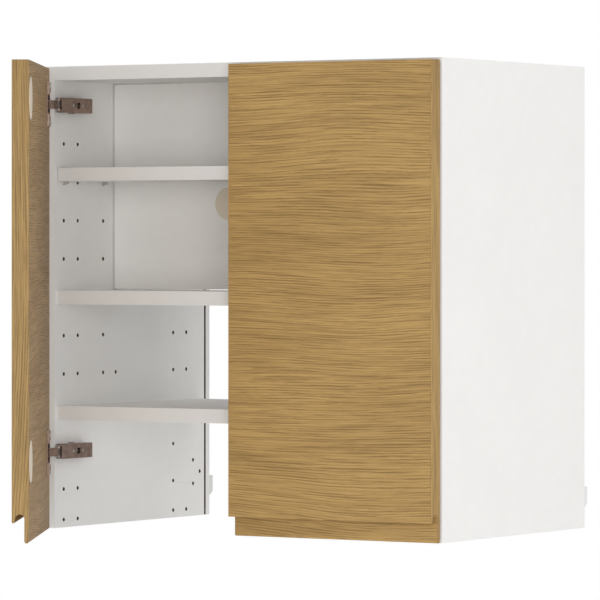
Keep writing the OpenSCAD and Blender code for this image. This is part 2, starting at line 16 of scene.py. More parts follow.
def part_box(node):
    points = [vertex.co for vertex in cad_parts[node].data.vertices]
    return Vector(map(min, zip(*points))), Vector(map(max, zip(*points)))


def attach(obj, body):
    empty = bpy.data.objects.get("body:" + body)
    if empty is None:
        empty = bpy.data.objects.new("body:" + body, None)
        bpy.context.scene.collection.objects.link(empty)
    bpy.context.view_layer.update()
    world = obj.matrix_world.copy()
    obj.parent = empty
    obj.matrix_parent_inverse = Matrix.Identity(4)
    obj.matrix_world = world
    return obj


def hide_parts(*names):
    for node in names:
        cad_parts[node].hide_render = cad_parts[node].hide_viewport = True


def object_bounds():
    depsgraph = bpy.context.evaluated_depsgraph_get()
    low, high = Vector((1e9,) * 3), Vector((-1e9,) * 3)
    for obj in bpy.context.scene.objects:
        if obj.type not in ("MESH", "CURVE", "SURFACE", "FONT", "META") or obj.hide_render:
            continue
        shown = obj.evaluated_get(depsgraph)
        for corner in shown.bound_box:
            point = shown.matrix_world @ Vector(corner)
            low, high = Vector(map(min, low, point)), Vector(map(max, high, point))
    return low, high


bl_info = {
    "name": "Hanging Wall Cabinet",
    "version": (1, 0, 0),
    "blender": (4, 5, 0),
    "location": "View3D > Sidebar > Cabinet",
    "description": "Makes the boards, doors, hinges and fittings of a hanging wall cabinet",
    "category": "Object",
}

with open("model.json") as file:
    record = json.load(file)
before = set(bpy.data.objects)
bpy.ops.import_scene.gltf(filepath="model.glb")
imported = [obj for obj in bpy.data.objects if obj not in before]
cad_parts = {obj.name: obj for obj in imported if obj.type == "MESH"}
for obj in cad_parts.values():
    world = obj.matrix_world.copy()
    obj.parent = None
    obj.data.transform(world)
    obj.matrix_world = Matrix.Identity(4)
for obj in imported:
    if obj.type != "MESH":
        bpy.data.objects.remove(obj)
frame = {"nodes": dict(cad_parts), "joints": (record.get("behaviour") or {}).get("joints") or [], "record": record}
CAD_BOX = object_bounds()
NODES = frame["nodes"]
JOINTS = {joint["name"]: joint for joint in frame["joints"]}
BODY_OF = {
    node: body
    for body, nodes in frame["record"]["behaviour"]["bodies"].items()
    for node in nodes
}
SIDES = ("left", "right")
MM = 0.001

BOARDS = (
    "side_panel_left",
    "side_panel_right",
    "top_panel",
    "mid_shelf",
    "hood_shelf",
    "spice_shelf",
    "partition_panel",
)
# Nodes of hinge metal, without their side and level
HINGE_PARTS = ("mounting_plate", "hinge_arm", "hinge_cup", "outer_lever", "inner_lever")


# Vertices nearer than this are one, and so are faces nearer in angle than this
MERGE_DISTANCE = 2e-6
FLAT_ANGLE = math.radians(0.4)
# Edges turned more than this are hard, on softened nodes and on pieces made by a geometry tree
HARD_ANGLE = math.radians(35)
GROWN_HARD_ANGLE = math.radians(30)
# Roundings of the moulded pieces' edges
CAP_EDGE = 0.45 * MM
HANGER_EDGE = 0.6 * MM
SPACER_EDGE = 0.5 * MM
BAND_EDGE = 0.35 * MM
# How far each door's oak pattern is moved from the one before it, in X and Z
PATTERN_STEP = (0.37, 0.21)

RIB_PITCH = 2.4 * MM
RIB_RADIUS = 0.7 * MM
RIB_LENGTH = 11 * MM
RIB_INSET = 6 * MM
# The ribs' start and extent, as shares of the spacer's height
RIB_START = 0.25
RIB_SHARE = 0.7

# Head height, head radius and shank radius of the screws
SCREW_SIZES = {
    "cup_screws": (1.4 * MM, 3.5 * MM, 1.8 * MM),
    "plate_screws": (1.6 * MM, 4 * MM, 2.4 * MM),
    "arm_screws": (1.2 * MM, 2.5 * MM, 2.2 * MM),
}
# Width of the cross in a screw's head, as a share of the head's radius
SLOT_SHARE = 0.24

# Lamp places from the cabinet's middle, and lamp sizes
KEY_OFFSET = Vector((1.7, -3.0, 0.1))
KEY_SIZE = 1.8
SIDE_OFFSET = Vector((3.1, 0.45, 0.3))
SIDE_SIZE = 1.1
# Power of the side light as a share of the key light's
SIDE_SHARE = 0.64
FLOOR_REACH = 45
FLOOR_TONE = 0.9
CAMERA_PLACE = (3.1627, -5.3231, -0.1887)
CAMERA_LENS = 277.5
CAMERA_SENSOR = 36
CAMERA_SHIFT = -0.0892


# ---------------------------------------------------------------- Frame helpers


def swing(side):
    """The joint that a door turns on."""
    return JOINTS[f"{side}_door_swing"]


def open_angle(side):
    """How far a door stands open at rest, in radians: its range starts at closed."""
    return -math.radians(swing(side)["range_deg"][0])


def turn_of(body):
    """The matrix that carries a point of a body from the closed cabinet to the rest pose."""
    for side in SIDES:
        if body == f"{side}_door":
            joint = swing(side)
            pivot = Matrix.Translation(joint["pos_m"])
            turn = Matrix.Rotation(open_angle(side), 4, Vector(joint["axis"]))
            return pivot @ turn @ pivot.inverted()
    return Matrix.Identity(4)


def merged(node):
    """A bmesh copy of a CAD node with its loose triangles joined."""
    mesh = bmesh.new()
    mesh.from_mesh(NODES[node].data)
    bmesh.ops.remove_doubles(mesh, verts=mesh.verts, dist=MERGE_DISTANCE)
    return mesh


def islands(node):
    """The separate solids of a CAD node, as (lowest, highest) corners with its body closed."""
    mesh = merged(node)
    mesh.transform(turn_of(BODY_OF[node]).inverted())
    seen, found = set(), []
    for start in mesh.verts:
        if start in seen:
            continue
        seen.add(start)
        group, queue = [], [start]
        while queue:
            vert = queue.pop()
            group.append(vert.co.copy())
            for edge in vert.link_edges:
                other = edge.other_vert(vert)
                if other not in seen:
                    seen.add(other)
                    queue.append(other)
        low = Vector(min(co[i] for co in group) for i in range(3))
        high = Vector(max(co[i] for co in group) for i in range(3))
        found.append((low, high))
    mesh.free()
    return found


def add_object(name, mesh):
    """Links a mesh to the scene as an object at the origin."""
    piece = bpy.data.objects.new(name, mesh)
    bpy.context.scene.collection.objects.link(piece)
    return piece


def baked(piece):
    """Turns an object's modifiers into its own plain mesh."""
    bpy.context.view_layer.update()
    depsgraph = bpy.context.evaluated_depsgraph_get()
    mesh = bpy.data.meshes.new_from_object(piece.evaluated_get(depsgraph))
    piece.modifiers.clear()
    piece.data = mesh
    return piece


def seat(piece, nodes, material):
    """Gives a finished piece its material, its body and the CAD nodes that it stands for."""
    body = BODY_OF[nodes[0]]
    if material is not None:
        piece.data.materials.clear()
        piece.data.materials.append(material)
    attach(piece, body)
    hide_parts(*nodes)
    return piece


def mark_edges(mesh, widest):
    """Stores 1 on the narrow faces that a bevel made, and 0 on all others, for wear and for a painted highlight on
    metal edges.
    """
    layer = mesh.attributes.new("edge", "FLOAT", "FACE")
    values = []
    for polygon in mesh.polygons:
        sides = [mesh.vertices[i].co for i in polygon.vertices]
        lengths = [(sides[i] - sides[i - 1]).length for i in range(len(sides))]
        values.append(1.0 if polygon.area < widest * max(lengths) else 0.0)
    layer.data.foreach_set("value", values)


def mark_core(mesh, depth):
    """Stores 1 on faces deeper than a depth inside the mesh's box, where a bore opens its core."""
    spots = [vertex.co for vertex in mesh.vertices]
    low = Vector(min(co[i] for co in spots) + depth for i in range(3))
    high = Vector(max(co[i] for co in spots) - depth for i in range(3))
    layer = mesh.attributes.new("core", "FLOAT", "FACE")
    layer.data.foreach_set(
        "value",
        [
            float(all(low[i] < polygon.center[i] < high[i] for i in range(3)))
            for polygon in mesh.polygons
        ],
    )


def mark_facing(mesh, name, direction):
    """Stores 1 on the faces that look along a direction."""
    layer = mesh.attributes.new(name, "FLOAT", "FACE")
    layer.data.foreach_set(
        "value", [float(polygon.normal.dot(direction) > 0.8) for polygon in mesh.polygons]
    )


def softened(node, width, steps=2):
    """A copy of a CAD node with flat faces merged and its hard edges rounded."""
    mesh = merged(node)
    bmesh.ops.dissolve_limit(
        mesh, angle_limit=FLAT_ANGLE, verts=mesh.verts, edges=mesh.edges
    )
    data = bpy.data.meshes.new(f"{node}_look")
    mesh.to_mesh(data)
    mesh.free()
    data.shade_smooth()
    data.set_sharp_from_angle(angle=HARD_ANGLE)
    piece = add_object(f"{node}_look", data)
    bevel = piece.modifiers.new("Rounded edges", "BEVEL")
    bevel.width = width
    bevel.segments = steps
    bevel.limit_method = "ANGLE"
    bevel.angle_limit = HARD_ANGLE
    bevel.use_clamp_overlap = True
    level = piece.modifiers.new("Flat faces kept flat", "WEIGHTED_NORMAL")
    level.keep_sharp = True
    level.weight = 100
    baked(piece)
    mark_edges(piece.data, 1.05 * width)
    return piece


def soften_all(nodes, width, material_of, steps=2):
    """Replaces each CAD node with its softened copy."""
    for node in nodes:
        seat(softened(node, width, steps), [node], material_of(node))


# ---------------------------------------------------------------- Node helpers


def socket(group, name, kind, default=None, output=False):
    """Adds an input or output to a node group."""
    made = group.interface.new_socket(
        name, in_out="OUTPUT" if output else "INPUT", socket_type=kind
    )
    if default is not None:
        made.default_value = default
    return made


class Wires:
    """A short way to add nodes to a tree and join them."""

    def __init__(self, tree):
        self.tree = tree

    def add(self, kind, settings=None, **inputs):
        """Adds a node, sets its properties, and sets or links its inputs by name or index."""
        node = self.tree.nodes.new(kind)
        for key, value in (settings or {}).items():
            setattr(node, key, value)
        for key, value in inputs.items():
            self.feed(node, key.replace("_", " "), value)
        return node

    def feed(self, node, key, value):
        """Sets one input of a node, or links an output to it."""
        target = node.inputs[key]
        if isinstance(value, bpy.types.NodeSocket):
            self.tree.links.new(value, target)
        else:
            target.default_value = value

    def math(self, operation, first, second=0.0):
        """A Math node's result."""
        node = self.add("ShaderNodeMath", {"operation": operation})
        self.feed(node, 0, first)
        self.feed(node, 1, second)
        return node.outputs[0]

    def ramp(self, value, low, high, to_low=0.0, to_high=1.0):
        """A value carried smoothly from one range to another."""
        node = self.add("ShaderNodeMapRange", {"interpolation_type": "SMOOTHSTEP"})
        for key, given in zip(range(5), (value, low, high, to_low, to_high)):
            self.feed(node, key, given)
        return node.outputs[0]

    def blend(self, factor, first, second, kind="MIX"):
        """Two colours mixed by a factor."""
        node = self.add("ShaderNodeMix", {"data_type": "RGBA", "blend_type": kind})
        self.feed(node, 0, factor)
        self.feed(node, 6, first)
        self.feed(node, 7, second)
        return node.outputs[2]

    def noise(self, vector, scale, detail=3.0, rough=0.5, distortion=0.0):
        """A noise texture's value."""
        node = self.add(
            "ShaderNodeTexNoise",
            Vector=vector,
            Scale=scale,
            Detail=detail,
            Roughness=rough,
            Distortion=distortion,
        )
        return node.outputs[0]

    def stretch(self, vector, scale, turn=(0, 0, 0), place=(0, 0, 0)):
        """A vector scaled, turned and moved by a Mapping node."""
        node = self.add("ShaderNodeMapping", Vector=vector, Rotation=turn, Location=place)
        node.inputs["Scale"].default_value = scale
        return node.outputs[0]


def shader_group(name, inputs, outputs):
    """An empty shader node group with its sockets, its wires and its two ends."""
    group = bpy.data.node_groups.new(name, "ShaderNodeTree")
    for label, kind, default in inputs:
        socket(group, label, kind, default)
    for label, kind in outputs:
        socket(group, label, kind, output=True)
    wires = Wires(group)
    start = wires.add("NodeGroupInput")
    end = wires.add("NodeGroupOutput")
    return group, wires, start.outputs, end


FLOAT, VECTOR, COLOR = "NodeSocketFloat", "NodeSocketVector", "NodeSocketColor"


def edge_wear_and_sheen_group():
    """Lightens or darkens the rounded edges in patches, as handling does; on metal the brighter edges are a
    painted highlight.
    """
    group, wires, given, end = shader_group(
        "Edge Wear And Sheen",
        [
            ("Vector", VECTOR, None),
            ("Color", COLOR, (0.8, 0.8, 0.8, 1)),
            ("Wear Color", COLOR, (0.5, 0.5, 0.5, 1)),
            ("Amount", FLOAT, 0.5),
        ],
        [("Color", COLOR), ("Mask", FLOAT)],
    )
    edge = wires.add("ShaderNodeAttribute", {"attribute_name": "edge"})
    patches = wires.ramp(wires.noise(given["Vector"], 55.0, 4.0, 0.6), 0.35, 0.7)
    mask = wires.math("MULTIPLY", edge.outputs["Fac"], patches)
    mask = wires.math("MULTIPLY", mask, given["Amount"])
    wires.feed(end, "Color", wires.blend(mask, given["Color"], given["Wear Color"]))
    wires.feed(end, "Mask", mask)
    return group


def mottle_group():
    """Broad uneven roughness with a fine pebbled height, for pressed and moulded skins."""
    group, wires, given, end = shader_group(
        "Soft Mottle",
        [
            ("Vector", VECTOR, None),
            ("Pebble Scale", FLOAT, 900.0),
            ("Rough Low", FLOAT, 0.35),
            ("Rough High", FLOAT, 0.5),
        ],
        [("Shade", FLOAT), ("Roughness", FLOAT), ("Height", FLOAT)],
    )
    broad = wires.noise(given["Vector"], 9.0, 4.0, 0.6)
    smear = wires.noise(given["Vector"], 60.0, 3.0, 0.55, 0.6)
    pebble = wires.noise(given["Vector"], given["Pebble Scale"], 2.0, 0.6)
    mixed = wires.math("MULTIPLY", wires.math("ADD", broad, smear), 0.5)
    wires.feed(end, "Shade", wires.ramp(mixed, 0.3, 0.7))
    rough = wires.ramp(mixed, 0.3, 0.7, given["Rough Low"], given["Rough High"])
    wires.feed(end, "Roughness", rough)
    wires.feed(end, "Height", pebble)
    return group


def streaks_group():
    """Fine directional streaks along X, for rolled, drawn and plated metal."""
    group, wires, given, end = shader_group(
        "Drawn Streaks",
        [
            ("Vector", VECTOR, None),
            ("Fineness", FLOAT, 1500.0),
            ("Rough Low", FLOAT, 0.25),
            ("Rough High", FLOAT, 0.45),
        ],
        [("Shade", FLOAT), ("Roughness", FLOAT), ("Height", FLOAT)],
    )
    along = wires.stretch(given["Vector"], (0.06, 1, 1))
    streak = wires.noise(along, given["Fineness"], 3.0, 0.6)
    spots = wires.noise(given["Vector"], 140.0, 4.0, 0.65)
    wires.feed(end, "Shade", wires.ramp(spots, 0.3, 0.7))
    mixed = wires.math("MULTIPLY", wires.math("ADD", streak, spots), 0.5)
    rough = wires.ramp(mixed, 0.3, 0.7, given["Rough Low"], given["Rough High"])
    wires.feed(end, "Roughness", rough)
    wires.feed(end, "Height", streak)
    return group


def oak_group():
    """Plain-sawn oak with the grain along X: flames, growth lines, pores and pale flecks."""
    group, wires, given, end = shader_group(
        "Oak Grain",
        [
            ("Vector", VECTOR, None),
            ("Light", COLOR, (0.43, 0.28, 0.12, 1)),
            ("Dark", COLOR, (0.26, 0.15, 0.06, 1)),
            ("Pore", COLOR, (0.13, 0.075, 0.03, 1)),
            ("Ring Spacing", FLOAT, 0.016),
        ],
        [("Color", COLOR), ("Roughness", FLOAT), ("Height", FLOAT)],
    )
    vector = given["Vector"]
    # The flames: height across the board, pushed up and down by a slow wander along it
    wander = wires.noise(wires.stretch(vector, (1.9, 1, 5.2)), 1.2, 1.0, 0.4)
    ripple = wires.noise(wires.stretch(vector, (9, 1, 60)), 1.0, 2.0, 0.5)
    split = wires.add("ShaderNodeSeparateXYZ", Vector=vector)
    rings = wires.math("DIVIDE", split.outputs["Z"], given["Ring Spacing"])
    rings = wires.math("ADD", rings, wires.math("MULTIPLY", wander, 14.0))
    rings = wires.math("ADD", rings, wires.math("MULTIPLY", ripple, 1.1))
    wave = wires.math("FRACT", rings)
    # Each ring darkens slowly and ends in a sharper late-wood line
    late = wires.math("MULTIPLY", wires.ramp(wave, 0.3, 0.9), wires.ramp(wave, 1.0, 0.93))
    # Fibres and pores follow the rings
    level = wires.math("MULTIPLY", rings, given["Ring Spacing"])
    along = wires.add(
        "ShaderNodeCombineXYZ", X=split.outputs["X"], Y=split.outputs["Y"], Z=level
    ).outputs[0]
    fibres = wires.noise(wires.stretch(along, (9, 60, 400)), 1.0, 5.0, 0.8)
    broad = wires.noise(wires.stretch(vector, (1.5, 1, 9)), 2.2, 2.0)
    tone = wires.math("MULTIPLY", late, 0.26)
    tone = wires.math("ADD", tone, wires.math("MULTIPLY", wires.ramp(fibres, 0.36, 0.64), 0.36))
    tone = wires.math("ADD", tone, wires.math("MULTIPLY", wires.ramp(broad, 0.3, 0.7), 0.22))
    color = wires.blend(tone, given["Light"], given["Dark"])
    dashes = wires.noise(wires.stretch(along, (13, 200, 640)), 1.0, 3.0, 0.7)
    pores = wires.ramp(dashes, 0.49, 0.56)
    pores = wires.math("MULTIPLY", pores, wires.ramp(late, 0.0, 0.8, 0.55, 1.0))
    color = wires.blend(wires.math("MULTIPLY", pores, 0.48), color, given["Pore"])
    wires.feed(end, "Color", color)
    wires.feed(end, "Roughness", wires.ramp(tone, 0.2, 0.9, 0.5, 0.62))
    height = wires.math("SUBTRACT", wires.math("MULTIPLY", fibres, 0.3), pores)
    wires.feed(end, "Height", height)
    return group


GROUP_MAKERS = {
    "Edge Wear And Sheen": edge_wear_and_sheen_group,
    "Soft Mottle": mottle_group,
    "Drawn Streaks": streaks_group,
    "Oak Grain": oak_group,
}


def place_group(wires, name, **inputs):
    """Puts a shader group into a material, building it the first time."""
    group = bpy.data.node_groups.get(name) or GROUP_MAKERS[name]()
    node = wires.add("ShaderNodeGroup", {"node_tree": group})
    for key, value in inputs.items():
        wires.feed(node, key.replace("_", " "), value)
    return node.outputs


def start_material(name):
    """A material with its wires, its Principled BSDF and its Object coordinates."""
    material = bpy.data.materials.new(name)
    material.use_nodes = True
    material.node_tree.nodes.clear()
    wires = Wires(material.node_tree)
    shader = wires.add("ShaderNodeBsdfPrincipled")
    output = wires.add("ShaderNodeOutputMaterial")
    wires.feed(output, "Surface", shader.outputs[0])
    place = wires.add("ShaderNodeTexCoord").outputs["Object"]
    return material, wires, shader, place


def finish_bump(wires, shader, height, distance, strength=0.5):
    """Feeds a height to the shader as a bump of the given depth."""
    bump = wires.add("ShaderNodeBump", Height=height, Strength=strength, Distance=distance)
    wires.feed(shader, "Normal", bump.outputs[0])


def with_alpha(color):
    """A colour property as the four numbers that a socket takes."""
    return (*color, 1.0)


def scaled(color, factor):
    """A colour made lighter or darker."""
    return tuple(min(1.0, channel * factor) for channel in color)


def skin_material(name, color, wear, rough, pebble=900.0, depth=2e-5, wear_and_sheen_amount=0.5, core=None):
    """A pressed or moulded skin, melamine board or plastic, over a speckled core if it has one."""
    material, wires, shader, place = start_material(name)
    mottle = place_group(
        wires,
        "Soft Mottle",
        Vector=place,
        Pebble_Scale=pebble,
        Rough_Low=rough[0],
        Rough_High=rough[1],
    )
    shade = wires.blend(mottle["Shade"], with_alpha(scaled(color, 0.975)), with_alpha(color))
    wear_and_sheen = place_group(
        wires,
        "Edge Wear And Sheen",
        Vector=place,
        Color=shade,
        Wear_Color=with_alpha(wear),
        Amount=wear_and_sheen_amount,
    )
    shown = wear_and_sheen["Color"]
    if core is not None:
        cut_open = wires.add("ShaderNodeAttribute", {"attribute_name": "core"}).outputs["Fac"]
        speck = wires.ramp(wires.noise(place, 700.0, 3.0, 0.7), 0.3, 0.7)
        chips = wires.blend(speck, with_alpha(scaled(core, 0.5)), with_alpha(core))
        shown = wires.blend(cut_open, shown, chips)
    wires.feed(shader, "Base Color", shown)
    wires.feed(shader, "Roughness", mottle["Roughness"])
    finish_bump(wires, shader, mottle["Height"], depth)
    return material


def metal_material(name, color, dull, rough, turn=(0, 0, 0), wear_and_sheen_amount=0.7):
    """Plated or drawn steel with streaks, dull patches and edges brightened as a painted highlight."""
    material, wires, shader, place = start_material(name)
    place = wires.stretch(place, (1, 1, 1), turn)
    streaks = place_group(
        wires, "Drawn Streaks", Vector=place, Rough_Low=rough[0], Rough_High=rough[1]
    )
    shade = wires.blend(streaks["Shade"], with_alpha(dull), with_alpha(color))
    # Painted highlight: the rounded edges are given a brighter colour of the same metal
    wear_and_sheen = place_group(
        wires,
        "Edge Wear And Sheen",
        Vector=place,
        Color=shade,
        Wear_Color=with_alpha(scaled(color, 1.5)),
        Amount=wear_and_sheen_amount,
    )
    wires.feed(shader, "Base Color", wear_and_sheen["Color"])
    shader.inputs["Metallic"].default_value = 0.85
    wires.feed(shader, "Roughness", streaks["Roughness"])
    finish_bump(wires, shader, streaks["Height"], 1.5e-5)
    return material


# Carries Z to X and Y to Z: an edge band's length along the grain, and its width across it
UPRIGHT = Matrix(((0, 0, 1), (1, 0, 0), (0, 1, 0)))


def oak_material(name, looks, turn, place_by, upright=False):
    """Oak with its grain along the door, or up it on an edge band, where a painted shade makes it a little darker.
    """
    # Painted shade: an edge band's colours are scaled darker, as if less light fell on it than on the face
    tone = looks.band_painted_shade if upright else 1.0
    material, wires, shader, place = start_material(name)
    place = wires.stretch(place, (1, 1, 1), (0, 0, turn), place_by)
    if upright:
        place = wires.stretch(place, (1, 1, 1), UPRIGHT.to_euler())
    grain = place_group(
        wires,
        "Oak Grain",
        Vector=place,
        Light=with_alpha(scaled(looks.light, tone)),
        Dark=with_alpha(scaled(looks.dark, tone)),
        Pore=with_alpha(scaled(looks.pore, tone)),
        Ring_Spacing=looks.ring_spacing,
    )
    wear_and_sheen = place_group(
        wires,
        "Edge Wear And Sheen",
        Vector=place,
        Color=grain["Color"],
        Wear_Color=with_alpha(scaled(looks.light, 1.15)),
        Amount=0.35,
    )
    # Painted shade: the door's inner face is darkened and a little greyed, as if less light reached it
    inner = wires.add("ShaderNodeAttribute", {"attribute_name": "inner"}).outputs["Fac"]
    shaded = wires.blend(1.0, wear_and_sheen["Color"], with_alpha(looks.inner_painted_shade), "MULTIPLY")
    wires.feed(shader, "Base Color", wires.blend(inner, wear_and_sheen["Color"], shaded))
    wires.feed(shader, "Roughness", grain["Roughness"])
    shader.inputs["Specular IOR Level"].default_value = 0.3
    finish_bump(wires, shader, grain["Height"], 6e-5, 0.6)
    return material


# ---------------------------------------------------------------- Geometry Nodes


def geometry_group(name, inputs):
    """An empty geometry node group with its sockets, its wires and its two ends."""
    group = bpy.data.node_groups.new(name, "GeometryNodeTree")
    socket(group, "Geometry", "NodeSocketGeometry")
    for label, kind, default in inputs:
        socket(group, label, kind, default)
    socket(group, "Geometry", "NodeSocketGeometry", output=True)
    wires = Wires(group)
    start = wires.add("NodeGroupInput")
    end = wires.add("NodeGroupOutput")
    return group, wires, start.outputs, end


def close_group(wires, geometry, given, end):
    """Ends a geometry tree: instances made real, with the material set."""
    real = wires.add("GeometryNodeRealizeInstances", Geometry=geometry)
    painted = wires.add(
        "GeometryNodeSetMaterial", Geometry=real.outputs[0], Material=given["Material"]
    )
    wires.feed(end, "Geometry", painted.outputs[0])


def moved(wires, geometry, offset):
    """A geometry moved by an offset."""
    node = wires.add("GeometryNodeTransform", Geometry=geometry)
    wires.feed(node, "Translation", offset)
    return node.outputs[0]


def tall(wires, height):
    """A height as a vector along Z."""
    return wires.add("ShaderNodeCombineXYZ", Z=height).outputs[0]


def screw_tree():
    """Cross-head screws standing on points: a stepped pan head with a cut cross, and a shank."""
    group, wires, given, end = geometry_group(
        "Cross Head Screws",
        [
            ("Head Radius", FLOAT, 0.0035),
            ("Head Height", FLOAT, 0.0014),
            ("Shank Radius", FLOAT, 0.0018),
            ("Shank Length", FLOAT, 0.01),
            ("Slot Width", FLOAT, 0.0008),
            ("Turn", VECTOR, (0, 0, 0)),
            ("Material", "NodeSocketMaterial", None),
        ],
    )
    half = wires.math("MULTIPLY", given["Head Height"], 0.5)
    rim = wires.add(
        "GeometryNodeMeshCylinder", Vertices=32, Radius=given["Head Radius"], Depth=half
    )
    rim = moved(wires, rim.outputs["Mesh"], tall(wires, wires.math("MULTIPLY", half, 0.5)))
    crown = wires.add("GeometryNodeMeshCone", Vertices=32, Depth=half)
    wires.feed(crown, "Radius Bottom", given["Head Radius"])
    wires.feed(crown, "Radius Top", wires.math("MULTIPLY", given["Head Radius"], 0.72))
    crown = moved(wires, crown.outputs["Mesh"], tall(wires, half))
    head = wires.add("GeometryNodeJoinGeometry")
    for part in (rim, crown):
        wires.feed(head, "Geometry", part)
    length = wires.math("MULTIPLY", given["Head Radius"], 1.25)
    bars = []
    for across in (False, True):
        sizes = (given["Slot Width"], length) if across else (length, given["Slot Width"])
        size = wires.add("ShaderNodeCombineXYZ", X=sizes[0], Y=sizes[1], Z=given["Head Height"])
        bar = wires.add("GeometryNodeMeshCube", Size=size.outputs[0])
        bars.append(moved(wires, bar.outputs["Mesh"], tall(wires, given["Head Height"])))
    cut = wires.add("GeometryNodeMeshBoolean", {"operation": "DIFFERENCE", "solver": "EXACT"})
    wires.feed(cut, "Mesh 1", head.outputs[0])
    for bar in bars:
        wires.feed(cut, "Mesh 2", bar)
    shank = wires.add(
        "GeometryNodeMeshCylinder",
        Vertices=16,
        Radius=given["Shank Radius"],
        Depth=given["Shank Length"],
    )
    down = wires.math("MULTIPLY", given["Shank Length"], -0.5)
    shank = moved(wires, shank.outputs["Mesh"], tall(wires, down))
    whole = wires.add("GeometryNodeJoinGeometry")
    for part in (cut.outputs[0], shank):
        wires.feed(whole, "Geometry", part)
    placed = wires.add("GeometryNodeInstanceOnPoints", Points=given["Geometry"])
    wires.feed(placed, "Instance", whole.outputs[0])
    wires.feed(placed, "Rotation", given["Turn"])
    close_group(wires, placed.outputs[0], given, end)
    return group


def dowel_tree():
    """Fluted dowels lying along X on points."""
    group, wires, given, end = geometry_group(
        "Fluted Dowels",
        [
            ("Radius", FLOAT, 0.004),
            ("Length", FLOAT, 0.03),
            ("Flute Depth", FLOAT, 0.06),
            ("Material", "NodeSocketMaterial", None),
        ],
    )
    stick = wires.add(
        "GeometryNodeMeshCylinder", Vertices=32, Radius=given["Radius"], Depth=given["Length"]
    )
    odd = wires.math("MODULO", wires.add("GeometryNodeInputIndex").outputs[0], 2.0)
    shrink = wires.math("SUBTRACT", 1.0, wires.math("MULTIPLY", odd, given["Flute Depth"]))
    size = wires.add("ShaderNodeCombineXYZ", X=shrink, Y=shrink, Z=1.0)
    spot = wires.add("GeometryNodeInputPosition").outputs[0]
    fluted = wires.add("ShaderNodeVectorMath", {"operation": "MULTIPLY"})
    wires.feed(fluted, 0, spot)
    wires.feed(fluted, 1, size.outputs[0])
    shaped = wires.add(
        "GeometryNodeSetPosition", Geometry=stick.outputs["Mesh"], Position=fluted.outputs[0]
    )
    placed = wires.add("GeometryNodeInstanceOnPoints", Points=given["Geometry"])
    wires.feed(placed, "Instance", shaped.outputs[0])
    wires.feed(placed, "Rotation", (0, math.pi / 2, 0))
    close_group(wires, placed.outputs[0], given, end)
    return group


def rib_tree():
    """A row of small ribs along Z, standing on points: the gripping edge of a spacer."""
    group, wires, given, end = geometry_group(
        "Spacer Ribs",
        [
            ("Count", "NodeSocketInt", 8),
            ("Pitch", FLOAT, 0.0024),
            ("Rib Radius", FLOAT, 0.0008),
            ("Rib Length", FLOAT, 0.01),
            ("Material", "NodeSocketMaterial", None),
        ],
    )
    line = wires.add("GeometryNodeMeshLine", Count=given["Count"])
    wires.feed(line, "Offset", tall(wires, given["Pitch"]))
    rib = wires.add(
        "GeometryNodeMeshCylinder",
        Vertices=12,
        Radius=given["Rib Radius"],
        Depth=given["Rib Length"],
    )
    row = wires.add("GeometryNodeInstanceOnPoints", Points=line.outputs[0])
    wires.feed(row, "Instance", rib.outputs["Mesh"])
    wires.feed(row, "Rotation", (0, math.pi / 2, 0))
    whole = wires.add("GeometryNodeRealizeInstances", Geometry=row.outputs[0])
    placed = wires.add("GeometryNodeInstanceOnPoints", Points=given["Geometry"])
    wires.feed(placed, "Instance", whole.outputs[0])
    close_group(wires, placed.outputs[0], given, end)
    return group


def grown(name, tree, points, values):
    """A plain mesh object made by a geometry tree from points."""
    mesh = bpy.data.meshes.new(name)
    mesh.from_pydata([tuple(point) for point in points], [], [])
    piece = add_object(name, mesh)
    modifier = piece.modifiers.new(tree.name, "NODES")
    modifier.node_group = tree
    for item in tree.interface.items_tree:
        if item.item_type == "SOCKET" and item.in_out == "INPUT" and item.name in values:
            modifier[item.identifier] = values[item.name]
    baked(piece)
    piece.data.shade_smooth()
    piece.data.set_sharp_from_angle(angle=GROWN_HARD_ANGLE)
    return piece


# ---------------------------------------------------------------- Settings


def color_property(name, description, default):
    """A linear colour for a PropertyGroup."""
    return bpy.props.FloatVectorProperty(
        name=name, description=description, subtype="COLOR", size=3, min=0, max=1, default=default
    )


def length_property(name, description, default):
    """A length for a PropertyGroup."""
    return bpy.props.FloatProperty(
        name=name,
        description=description,
        default=default,
        min=0,
        subtype="DISTANCE",
        unit="LENGTH",
    )


class CabinetBoardSettings(bpy.types.PropertyGroup):
    """Looks of the white boards and plastic parts."""

    white: color_property("White", "Colour of the melamine skin", (0.91, 0.90, 0.88))
    chipboard: color_property("Core", "Colour of the core inside a bore", (0.16, 0.10, 0.055))
    bruise: color_property("Edge wear", "Colour of handled edges", (0.62, 0.59, 0.55))
    plastic: color_property("White plastic", "Colour of hangers and spacers", (0.86, 0.86, 0.85))
    cream: color_property("Cream plastic", "Colour of the caps", (0.78, 0.70, 0.57))
    edge: length_property("Edge rounding", "Rounding of a board's edges", 0.8 * MM)


class CabinetDoorSettings(bpy.types.PropertyGroup):
    """Looks of the oak doors."""

    light: color_property("Early wood", "Lightest tone of the oak", (0.655, 0.42, 0.155))
    dark: color_property("Late wood", "Tone of the growth lines", (0.31, 0.182, 0.060))
    pore: color_property("Pores", "Tone of the open pores", (0.15, 0.085, 0.030))
    ring_spacing: length_property("Ring spacing", "Distance between growth lines", 3.2 * MM)
    # Painted shade laid on the doors' inner faces, darkening them as if less light reached them
    inner_painted_shade: color_property("Inner painted shade", "Tone of the inner faces", (0.72, 0.72, 0.85))
    # Painted shade on the edge bands: their colours are scaled by this against the faces
    band_painted_shade: bpy.props.FloatProperty(
        name="Band painted shade", description="Tone of the edge bands against the faces", default=0.8, min=0
    )
    edge: length_property("Edge rounding", "Rounding of a door's edges", 0.7 * MM)


